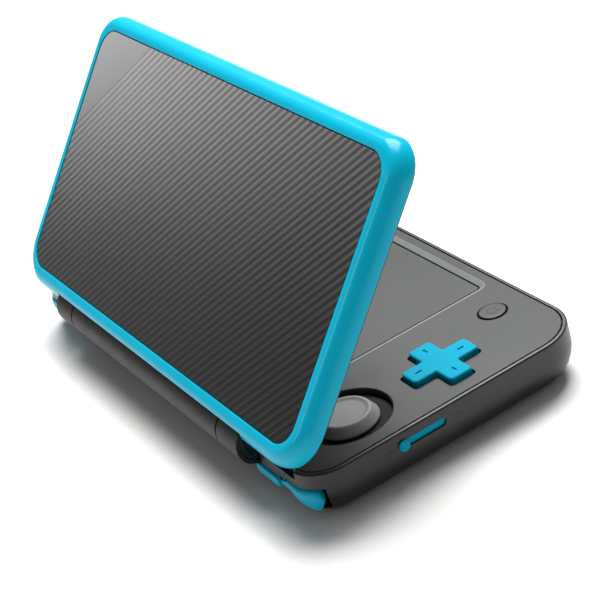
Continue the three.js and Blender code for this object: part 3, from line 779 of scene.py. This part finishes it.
def lower_screen():
    """The touch film over the lower screen, a little smaller than its opening."""
    x0, y0, x1, y1 = WINDOW
    film = slab(
        "film",
        lambda inset: rounded(
            x0 + 0.4 + inset, y0 + 0.4 + inset, x1 - 0.4 - inset, y1 - 0.4 - inset, 1,
        ),
        12.2, 13.3, 0.12,
    )
    finish_piece(film, "touch_film", "base", FILM, ["touch_panel"])


def status_light():
    _, low, high = centre("status_light_window")
    piece = slab(
        "light",
        lambda inset: rounded(
            low.x + inset, low.y + inset, high.x - inset, high.y - inset, 0.65 - inset / 2,
        ),
        low.z, high.z, 0.25,
    )
    finish_piece(
        piece, "status_light", "base", PIPE, ["status_light_window"],
    )


def thumb_pad():
    """The sliding pad: a dished disc on a sloping skirt, in its round well."""
    thumb, _, _ = centre("circle_pad_housing")
    well = lathe(
        "well",
        [(5.3, 11.5), (13, 11.5), (13, 12.3), (11.1, 12.3), (10.9, 12.36), (10.2, 12.36),
         (10, 12.3), (5.3, 12.3)],
        thumb.x, thumb.y, loop=True, sides=96,
    )
    finish_piece(
        well, "thumb_pad_well", "base", INNER, ["circle_pad_housing"],
    )
    cap = lathe(
        "cap",
        [(1.8, 9.3), (1.8, 12.7), (7.95, 12.7), (8.12, 12.78), (8.15, 12.95), (8.1, 13.12),
         (7.9, 13.4), (7.45, 14.05), (7.0, 14.65), (6.7, 15.08), (6.55, 15.27), (6.35, 15.37),
         (6.1, 15.4), (5.85, 15.37), (5.65, 15.28), (5.35, 15.08), (4.9, 14.96), (3.6, 14.86),
         (2, 14.81), (0.5, 14.8)],
        thumb.x, thumb.y, sides=96,
    )
    finish_piece(cap, "thumb_pad", "circle_pad", PAD, ["circle_pad_cap"])


def cross_pad():
    """The direction cross, with a short groove along each arm."""
    pad, low, high = centre("dpad")
    edge = 0.6
    profile = [(0, low.z)]
    profile += [(inset, high.z - edge + up) for inset, up in bend(edge, edge, 5)]
    profile.append((1.1, high.z))
    piece = loft("cross", [
        ring(cross_outline(pad.x, pad.y, 9.6 - inset, 3.3 - inset, 1.2 - inset, 0.35 + inset), z)
        for inset, z in profile
    ])
    grooves = []
    for ux, uy in ((1, 0), (-1, 0), (0, 1), (0, -1)):
        x, y = pad.x + 6.3 * ux, pad.y + 6.3 * uy
        hx, hy = (0.95, 0.28) if ux else (0.28, 0.95)
        grooves.append(opening(
            lambda grow, x=x, y=y, hx=hx, hy=hy: rounded(
                x - hx - grow, y - hy - grow, x + hx + grow, y + hy + grow, 0.27 + grow, steps=4,
            ),
            high.z - 0.35, high.z, 0.12, steps=3,
        ))
    carve(piece, *grooves)
    finish_piece(piece, "direction_cross", "dpad", TURQUOISE_PAINTED_SHADE, ["dpad"])


def round_button(node, name, body, material, edge, crown):
    """A push button with a rounded shoulder and a crowned top. Returns its middle and top."""
    middle, low, high = centre(node)
    r = (high.x - low.x) / 2
    profile = [(r, low.z)]
    profile += [(r - inset, high.z - crown - edge + up) for inset, up in bend(edge, edge, 5)]
    top_r = r - edge
    for share in (0.75, 0.5, 0.25, 0.08):
        profile.append((top_r * share, high.z - crown * share * share))
    piece = lathe("button", profile, middle.x, middle.y)
    finish_piece(piece, name, body, material, [node])
    return middle, high.z


def house_mark(x, y, z):
    """A plain house outline on the home button."""
    outer = [
        (-1.35, -1.3), (1.35, -1.3), (1.35, 0.1), (2.1, 0.1), (0, 1.85), (-2.1, 0.1), (-1.35, 0.1),
    ]
    inner = [
        (-0.95, -0.9), (0.95, -0.9), (0.95, 0.4), (1.0, 0.45), (0, 1.3), (-1.0, 0.45), (-0.95, 0.4),
    ]
    outer = [(x + u, y + v) for u, v in outer]
    inner = [(x + u, y + v) for u, v in inner]
    rings = [ring(outer, z), ring(outer, z + 0.02), ring(inner, z + 0.02), ring(inner, z)]
    piece = loft("house", rings, loop=True)
    finish_piece(piece, "home_mark", "button_home", MARK)


def all_buttons():
    """The round keys, and the small fixed stick beside the hinge."""
    for letter in "abxy":
        node = f"button_{letter}"
        round_button(
            node, f"face_button_{letter}", node, TURQUOISE_PAINTED_SHADE, 0.6, 0.3,
        )
    for name in ("start", "select", "power"):
        node = f"button_{name}"
        round_button(node, f"{name}_key", node, BUTTON, 0.35, 0.1)
    middle, top = round_button(
        "button_home", "home_key", "button_home", PLATE, 0.35, 0,
    )
    house_mark(middle.x, middle.y, top)
    nub, low, high = centre("c_stick_nub")
    piece = lathe(
        "nub",
        [(2.6, low.z), (2.6, 14.1), (2.5, 14.5), (2.25, 14.85), (1.85, 15.1), (1.3, 15.24),
         (0.7, 15.29), (0.2, high.z)],
        nub.x, nub.y,
    )
    finish_piece(piece, "small_stick", "base", PAD, ["c_stick_nub"])


# ---- volume slider ----
def volume_slider():
    """A round knob on a strip that shows through the slot."""
    _, low, high = centre("volume_slider")
    knob = across(
        "knob",
        [(0.45, low.x), (0.95, low.x + 0.03), (1.28, low.x + 0.11), (1.44, low.x + 0.24),
         (1.5, low.x + 0.38), (1.5, -80.25)],
        KNOB_Y, VOLUME_Z,
    )
    stem = block(-80.3, -79.2, KNOB_Y - 0.6, KNOB_Y + 0.6, VOLUME_Z - 0.75, VOLUME_Z + 0.75)
    strip = block(-79.45, high.x, 1.9, 26.9, VOLUME_Z - 1.3, VOLUME_Z + 1.3)
    weld(knob, stem, strip)
    finish_piece(
        knob, "volume_knob", "volume_slider", TURQUOISE_PAINTED_SHADE, ["volume_slider"],
    )


def wall_bar(y, z, long, tall):
    """A flat printed bar on the left wall."""
    outline = [(y - long / 2, z - tall / 2), (y + long / 2, z - tall / 2),
               (y + long / 2, z + tall / 2), (y - long / 2, z + tall / 2)]
    return loft("mark", [[(x, u, v) for u, v in outline] for x in (-79.95, -80.02)])


def volume_marks():
    """A plus behind the slot and a minus in front of it."""
    length, width = 1.5, 0.32
    level = wall_bar(18.6, VOLUME_Z, length, width)
    plus = weld(level, wall_bar(18.6, VOLUME_Z, width, length))
    finish_piece(plus, "volume_plus", "base", MARK)
    minus = wall_bar(-1.4, VOLUME_Z, length, width)
    finish_piece(minus, "volume_minus", "base", MARK)


# ---- shoulder buttons ----
def pillow(half_out, half_up, power=3.2, points=40):
    """A soft-cornered section: (outward, up) points round its middle."""
    section = []
    for i in range(points):
        a = 2 * math.pi * i / points
        c, s = math.cos(a), math.sin(a)
        section.append((
            half_out * math.copysign(abs(c) ** (2 / power), c),
            half_up * math.copysign(abs(s) ** (2 / power), s),
        ))
    return section


def eased(i, steps):
    """Goes from 0 to 1 with shorter steps near both ends."""
    return 0.5 - 0.5 * math.cos(math.pi * i / steps)


def tip(share, least):
    """How thick a rounded end is, share of the way in from its very tip."""
    return math.sqrt(max(least, 1 - (1 - share) ** 2))


def shoulder_button(side, name, body, node):
    """Wraps the rear corner: slim inboard with a small step, swelling to a thick rounded end."""
    rings = []
    steps = 44
    for i in range(steps + 1):
        along = SHOULDER_LENGTH * eased(i, steps)
        (x, y), out = corner_path(along)
        end = min(1, (SHOULDER_LENGTH - along) / 2.4)
        start = min(1, along / 0.7)
        taper = tip(end, 0.02) * tip(start, 0.05)
        proud = 0.3 + 0.5 * min(1, along / 9)
        low, high = shoulder_edges(along)
        middle_z = (high + low) / 2
        half_up = (high - low) / 2 * taper
        depth = 3.2 + proud
        middle_out = proud - depth / 2
        half_out = depth / 2 * (0.45 + 0.55 * taper)
        rings.append([
            (side * (x + out[0] * (middle_out + o)), y + out[1] * (middle_out + o), middle_z + u)
            for o, u in pillow(half_out, half_up)
        ])
    finish_piece(loft("shoulder", rings), name, body, TURQUOISE_PAINTED_LIGHT, [node], 50)


def trigger_button(side, name, body, node):
    """The narrow button next to the shoulder button."""
    _, low, high = centre(node)
    inner, outer = sorted((abs(low.x), abs(high.x)))
    middle_y = (low.y + high.y) / 2
    middle_z = (low.z + high.z) / 2
    rings = []
    steps = 24
    for i in range(steps + 1):
        x = inner + (outer - inner) * eased(i, steps)
        end = min(1, min(x - inner, outer - x) / 1.2)
        taper = tip(end, 0.03)
        half_out = (high.y - low.y) / 2 * (0.6 + 0.4 * taper)
        half_up = (high.z - low.z) / 2 * taper
        rings.append([
            (side * x, middle_y + o, middle_z + u) for o, u in pillow(half_out, half_up, 3.6)
        ])
    finish_piece(loft("trigger", rings), name, body, TURQUOISE_PAINTED_LIGHT, [node], 50)


# ---- sockets, screws and lenses in the base ----
def stylus_pen():
    pen, low, high = centre("stylus")
    piece = lengthwise(
        "pen",
        [(0.6, low.y), (1.4, low.y + 0.08), (1.75, low.y + 0.35), (1.8, low.y + 1.1),
         (2.1, low.y + 1.5), (2.1, high.y - 6), (1.6, high.y - 4.6), (1.0, high.y - 3.6),
         (0.85, high.y - 0.9), (0.5, high.y - 0.2), (0.2, high.y)],
        pen.x, pen.z,
    )
    finish_piece(piece, "stylus_pen", "stylus", SHELL, ["stylus"])


def jack_socket():
    jack, low, high = centre("headphone_jack")
    piece = lengthwise(
        "jack",
        [(1.75, low.y + 0.15), (1.95, low.y), (2.5, low.y), (2.5, high.y), (0.9, high.y),
         (0.9, high.y - 2), (1.75, high.y - 2)],
        jack.x, jack.z, loop=True,
    )
    finish_piece(piece, "jack_socket", "base", INNER, ["headphone_jack"])


def underside_screw(node, name):
    """A sunk screw with a cross recess, seen from below."""
    screw, low, high = centre(node)
    piece = lathe(
        "screw",
        [(1.5, low.z), (1.9, low.z + 0.06), (2.15, low.z + 0.25), (2.2, low.z + 0.5),
         (2.2, 1.8), (1, 1.9), (1, high.z)],
        screw.x, screw.y,
    )
    reach, half = 1.3, 0.24
    carve(
        piece,
        block(screw.x - reach, screw.x + reach, screw.y - half, screw.y + half, 0, 1.1),
        block(screw.x - half, screw.x + half, screw.y - reach, screw.y + reach, 0, 1.1),
    )
    finish_piece(piece, name, "base", STEEL, [node])


def rear_camera(node, name):
    """A small lens in a stepped round bezel on the underside."""
    lens, low, high = centre(node)
    piece = lathe(
        "lens",
        [(0.3, 0.62), (0.8, 0.58), (1.3, 0.5), (1.45, 0.62), (1.6, 0.5), (1.9, 0.24), (2.1, low.z),
         (2.75, low.z), (2.9, low.z + 0.12), (2.9, high.z)],
        lens.x, lens.y,
    )
    finish_piece(piece, name, "base", SMOKED, [node])


def infrared_window():
    """A smoked strip flush with the rounded rear wall."""
    _, low, high = centre("infrared_window")
    piece = loft("window", bottom_curve(0, BASE_TOP - 1))
    face = rounded(low.x, low.z, high.x, high.z, 0.7)
    stamp = loft("stamp", [[(x, y, z) for x, z in face] for y in (60, low.y)])
    combine(piece, [stamp], "INTERSECT")
    finish_piece(piece, "infrared_strip", "base", SMOKED, ["infrared_window"])


# ---- hinge ----
def hinge_cylinder(x0, x1, edge):
    """A round bar about the hinge axis with softened ends."""
    lean = math.copysign(edge, x1 - x0)
    profile = [
        (BARREL_R - edge, x0), (BARREL_R - 0.3 * edge, x0 + 0.3 * lean), (BARREL_R, x0 + lean),
        (BARREL_R, x1 - lean), (BARREL_R - 0.3 * edge, x1 - 0.3 * lean), (BARREL_R - edge, x1),
    ]
    return across("bar", profile, HINGE_Y, HINGE_Z, sides=80)


def knuckle(side, name, node):
    """A fixed end of the hinge on its foot, with a sunk cap in its outer face."""
    bar = hinge_cylinder(side * 43.6, side * 54.2, 0.35)
    x0, x1 = sided(side, 44.4, 50.4)
    weld(bar, block(x0, x1, 35.6, 38.8, 5.6, 11.2))
    recess = across(
        "cutter", [(4.5, side * 53.85), (4.75, side * 55)], HINGE_Y, HINGE_Z,
    )
    bore = across("cutter", [(2.1, side * 41.6), (2.1, side * 52)], HINGE_Y, HINGE_Z)
    carve(bar, recess, bore)
    finish_piece(bar, name, "base", HINGE_BLACK, [node])
    cap = across(
        "cap",
        [(4.45, side * 53.84), (4.4, side * 53.98), (3.8, side * 54.05), (1.5, side * 54.09),
         (0.3, side * 54.1)],
        HINGE_Y, HINGE_Z,
    )
    finish_piece(cap, f"{name}_cap", "base", GLASS)


def barrel():
    """The lid's hinge barrel with its web, and holes for the lens and the microphone."""
    bar = hinge_cylinder(-BARREL_HALF, BARREL_HALF, 0.35)
    web = block(-42.6, 42.6, HINGE_Y - 9, HINGE_Y - 2.6, HINGE_Z + 2.7, HINGE_Z + 4.6)
    cutters = [
        across("cutter", [(2.1, side * 35.5), (2.1, side * 50)], HINGE_Y, HINGE_Z)
        for side in (-1, 1)
    ]
    cutters += [
        lathe("cutter", [(2.1, HINGE_Z - 8), (1.9, HINGE_Z - 3.2)], LENS_X, HINGE_Y),
        lathe("cutter", [(1.05, HINGE_Z - 8), (1.0, HINGE_Z - 3.8)], MICROPHONE_X, HINGE_Y),
    ]
    carve(weld(bar, web), *cutters)
    finish_piece(
        open_lid(bar), "hinge_barrel", "lid", HINGE_BLACK, ["lid_hinge_barrel"],
    )


def barrel_lens():
    """The lens and the microphone in the hinge barrel, facing the player."""
    lens = lathe(
        "lens",
        [(1.7, HINGE_Z - 3.4), (1.7, HINGE_Z - 5.4), (1.6, HINGE_Z - 5.5), (1.45, HINGE_Z - 5.5),
         (1.3, HINGE_Z - 5.3), (0.9, HINGE_Z - 5.42), (0.4, HINGE_Z - 5.48)],
        LENS_X, HINGE_Y, sides=48,
    )
    finish_piece(
        open_lid(lens), "face_camera", "lid", GLASS, ["inner_camera_lens"],
    )
    mic = lathe(
        "mic",
        [(0.8, HINGE_Z - 4), (0.8, HINGE_Z - 5.35), (0.7, HINGE_Z - 5.45), (0.35, HINGE_Z - 5.45),
         (0.25, HINGE_Z - 5.1)],
        MICROPHONE_X, HINGE_Y, sides=32,
    )
    finish_piece(
        open_lid(mic), "microphone", "lid", INNER, ["microphone_insert"],
    )


# ---- lid ----
def hinge_clearance():
    """A cutter that keeps the lid clear of the barrel and the knuckles."""
    profile = [(HINGE_CLEAR_R, -HINGE_BAY), (HINGE_CLEAR_R, HINGE_BAY)]
    return across("cutter", profile, HINGE_Y, HINGE_Z, sides=96)


def lid_border():
    """The turquoise shell: straight side, full round bend, flat border and the panel's seat."""
    side_top = 1.9
    profile = [
        (2.2, 4.9), (1.9, 4.8), (1.8, 4.5), (1.8, 1.0), (0.3, 1.0), (0.1, 1.05), (0.02, 1.16),
        (0, 1.3),
    ]
    profile += [(inset, side_top + up) for inset, up in bend(draw=3.6, rise=4.5, steps=16)]
    rings = [ring(lid_outline(inset), HINGE_Z + n) for inset, n in profile]
    rings += [ring(panel_outline(grow), HINGE_Z + n) for grow, n in (
        (0.45, 6.4), (0.28, 6.37), (0.18, 6.28), (0.15, 6.1), (0.15, 5.4),
    )]
    piece = carve(
        loft("border", rings),
        block(-HINGE_BAY, HINGE_BAY, HINGE_Y - 1.2, HINGE_Y + 10, HINGE_Z - 10, HINGE_Z + 10),
        hinge_clearance(),
    )
    return finish_piece(
        open_lid(piece), "lid_border", "lid", TURQUOISE_PAINTED_LIGHT, ["lid_outer_shell"],
    )


def ribbed_panel():
    """Smooth diagonal ribs over the panel, ending in a plain corner."""
    _, near, x1, far = PANEL
    middle_y = HINGE_Y - (near + far) / 2
    diagonal = math.sqrt(0.5)
    reach = (x1 + (far - near) / 2) * diagonal
    top = HINGE_Z + 6.2
    first = PLAIN_CORNER - reach
    samples = 14
    across_ribs = [(-reach - 5, top), (first - RIB_PITCH / 2, top)]
    count = int((reach - first) / RIB_PITCH) + 1
    for i in range(1, count * samples + 1):
        offset = first - RIB_PITCH / 2 + RIB_PITCH * i / samples
        wave = 0.5 - 0.5 * math.cos(2 * math.pi * i / samples)
        across_ribs.append((offset, top - RIB_DEPTH * wave))
    across_ribs.append((reach + 8, top))
    section = across_ribs + [(reach + 8, top - 2), (-reach - 5, top - 2)]

    def corrugated(along):
        return [
            ((along - t) * diagonal, middle_y + (along + t) * diagonal, z) for t, z in section
        ]

    ribs = loft("ribs", [corrugated(-reach - 5), corrugated(reach + 5)])
    plate = slab("panel", lambda inset: panel_outline(-0.1 - inset), HINGE_Z + 5.5, top, 0.15)
    combine(plate, [ribs], "INTERSECT")
    return finish_piece(
        open_lid(plate), "lid_panel", "lid", PANEL_FINISH, ["lid_ribbed_panel"],
    )


def inner_frame():
    """The black inside of the lid: a thin flange, a dished face and the screen's seat."""
    rings = [ring(lid_outline(inset), HINGE_Z + n) for inset, n in (
        (2.1, 3.0), (2.1, 0.9), (0.6, 0.9), (0.5, 0.82), (0.5, 0.6), (0.58, 0.46), (0.8, 0.4),
    )]
    rings += [
        ring(lid_rectangle(half, near, far, radius), HINGE_Z + n)
        for half, near, far, radius, n in (
            (76.7, 4.1, 77.2, 6.3, 0.4), (76.5, 4.3, 77.0, 6.1, 0.48), (76.4, 4.4, 76.9, 6, 0.7),
            (76.4, 4.4, 76.9, 6, 1.6), (76.1, 4.7, 76.6, 5.7, 1.9), (74.2, 8.8, 75.2, 4, 1.9),
            (74.2, 8.8, 75.2, 4, 2.75),
        )
    ]
    piece = loft("frame", rings)
    cutters = [
        block(-HINGE_BAY, HINGE_BAY, HINGE_Y - 2.2, HINGE_Y + 10, HINGE_Z - 10, HINGE_Z + 10),
        hinge_clearance(),
        block(-43, 43, HINGE_Y - 9.4, HINGE_Y - 2, HINGE_Z + 2.4, HINGE_Z + 6),
        block(-70, 70, HINGE_Y - 72, HINGE_Y - 12, HINGE_Z + 2.7, HINGE_Z + 6),
    ]
    hole = [(1.2, HINGE_Z - 1), (1.2, HINGE_Z + 1.3)]
    for side in (-1, 1):
        for x, v in BUMPERS.values():
            cutters.append(lathe("cutter", hole, side * x, HINGE_Y - v, sides=32))
    carve(piece, *cutters)
    finish_piece(
        open_lid(piece), "lid_inner_face", "lid", SHELL, ["lid_inner_frame"],
    )


def lid_bumpers():
    """Four small rubber stops round the inside of the lid."""
    profile = [
        (1, HINGE_Z + 0.85), (1, HINGE_Z + 0.35), (0.85, HINGE_Z + 0.18), (0.5, HINGE_Z + 0.1),
    ]
    for edge, (x, v) in BUMPERS.items():
        for side, hand in ((-1, "left"), (1, "right")):
            piece = lathe("bumper", profile, side * x, HINGE_Y - v, sides=32)
            finish_piece(
                open_lid(piece), f"bumper_{edge}_{hand}", "lid", RUBBER,
                [f"lid_bumper_{edge}_{hand}"],
            )


def upper_screen():
    """One sheet of black glass with the display showing behind its middle."""
    rings = [ring(lid_rectangle(74 - inset, 9 + inset, 75 - inset, 3.8 - inset), HINGE_Z + n)
             for inset, n in ((0, 2.65), (0, 2.05), (0.06, 1.94), (0.2, 1.9))]
    glass = loft("glass", rings)
    finish_piece(
        open_lid(glass), "screen_glass", "lid", GLASS, ["top_screen_window"],
    )
    display = loft("display", [
        ring(lid_rectangle(53, 16, 72, 0.4), HINGE_Z + n) for n in (1.95, 1.89)
    ])
    finish_piece(open_lid(display), "upper_display", "lid", DISPLAY)


# ---- CAD parts that stay as they are ----
CARRIED_OVER = {
    "battery_pack": CELL,
    "main_board": BOARD,
    "bottom_lcd_module": STEEL,
    "top_lcd_module": STEEL,
    "button_contact_rubber": RUBBER,
    "dpad_contact_rubber": RUBBER,
    "circle_pad_stage": INNER,
    "card_slot_module": STEEL,
    "microsd_socket": STEEL,
    "charge_socket": INNER,
    "speaker_left": INNER,
    "speaker_right": INNER,
    "hinge_pin_left": STEEL,
    "hinge_pin_right": STEEL,
}


def dress_cad_parts():
    for name, material in CARRIED_OVER.items():
        for slot in frame["nodes"][name].material_slots:
            slot.material = material


# ---- studio ----
def add_camera():
    """The photograph's view: from behind on the player's left, rolled to its right."""
    data = bpy.data.cameras.new("camera")
    data.sensor_width = 36
    data.lens = 114.58
    data.clip_start = 0.01
    camera = bpy.data.objects.new("camera", data)
    bpy.context.scene.collection.objects.link(camera)
    camera.location = Vector((-417.695, 167.533, 256.214)) * MM
    target = Vector((-8.41, -1.14, 16.44)) * MM
    facing = (target - camera.location).to_track_quat("-Z", "Y")
    roll = Quaternion((0, 0, 1), math.radians(-17.47))
    camera.rotation_mode = "QUATERNION"
    camera.rotation_quaternion = facing @ roll
    bpy.context.scene.camera = camera


def softbox(name, location, target, width, height, power, only=None):
    """A rectangular light aimed at target, in metres. It lights all pieces, or those in only."""
    data = bpy.data.lights.new(name, "AREA")
    data.shape = "RECTANGLE"
    data.size = width
    data.size_y = height
    data.energy = power
    lamp = bpy.data.objects.new(name, data)
    bpy.context.scene.collection.objects.link(lamp)
    lamp.location = location
    aim = Vector(target) - Vector(location)
    lamp.rotation_mode = "QUATERNION"
    lamp.rotation_quaternion = aim.to_track_quat("-Z", "Y")
    if only:
        receivers = bpy.data.collections.new(f"{name}_receivers")
        for piece in only:
            receivers.objects.link(piece)
        lamp.light_linking.receiver_collection = receivers


def add_lights(border, panel):
    """A broad high key on the player's right, one light for each lid piece, and a surround."""
    softbox("key", (0.56, -0.52, 1.32), (0, 0, 0.03), 1.15, 1.15, 52)
    softbox("panel_light", (0.62, 0.16, 0.26), (0.05, 0, 0.06), 0.25, 0.25, 1.9, [panel])
    softbox("border_light", (0.2, 0.75, 0.42), (-0.04, 0.04, 0.05), 0.1, 0.4, 1.2, [border])
    world = bpy.data.worlds.new("surround")
    world.use_nodes = True
    world.node_tree.nodes["Background"].inputs["Color"].default_value = (1, 0.985, 0.975, 1)
    world.node_tree.nodes["Background"].inputs["Strength"].default_value = 0.23
    bpy.context.scene.world = world


def add_floor():
    half = 3000
    corners = [(-half, -half, 0), (half, -half, 0), (half, half, 0), (-half, half, 0)]
    floor = new_piece("floor", corners, [(0, 1, 2, 3)])
    floor.data.materials.append(studio_floor())


def build_base():
    upper_shell()
    lower_shell()
    card_cover()
    face_plate()
    screen_frame()
    lower_screen()
    status_light()
    thumb_pad()
    cross_pad()
    all_buttons()
    volume_slider()
    volume_marks()
    stylus_pen()
    jack_socket()
    infrared_window()
    for side, place in ((-1, "left"), (1, "right")):
        underside_screw(f"cover_screw_{place}", f"screw_{place}")
        rear_camera(f"outer_camera_{place}", f"rear_lens_{place}")
        knuckle(side, f"knuckle_{place}", f"hinge_knuckle_{place}")
    shoulder_button(-1, "shoulder_button_left", "shoulder_l", "shoulder_l")
    shoulder_button(1, "shoulder_button_right", "shoulder_r", "shoulder_r")
    trigger_button(-1, "trigger_button_left", "trigger_zl", "trigger_zl")
    trigger_button(1, "trigger_button_right", "trigger_zr", "trigger_zr")


def build_lid():
    """Makes the lid's pieces and returns the two that have their own lights."""
    border = lid_border()
    panel = ribbed_panel()
    inner_frame()
    upper_screen()
    lid_bumpers()
    barrel()
    barrel_lens()
    return border, panel


add_camera()
add_floor()
build_base()
add_lights(*build_lid())
dress_cad_parts()
bpy.context.scene.view_settings.view_transform = "Standard"
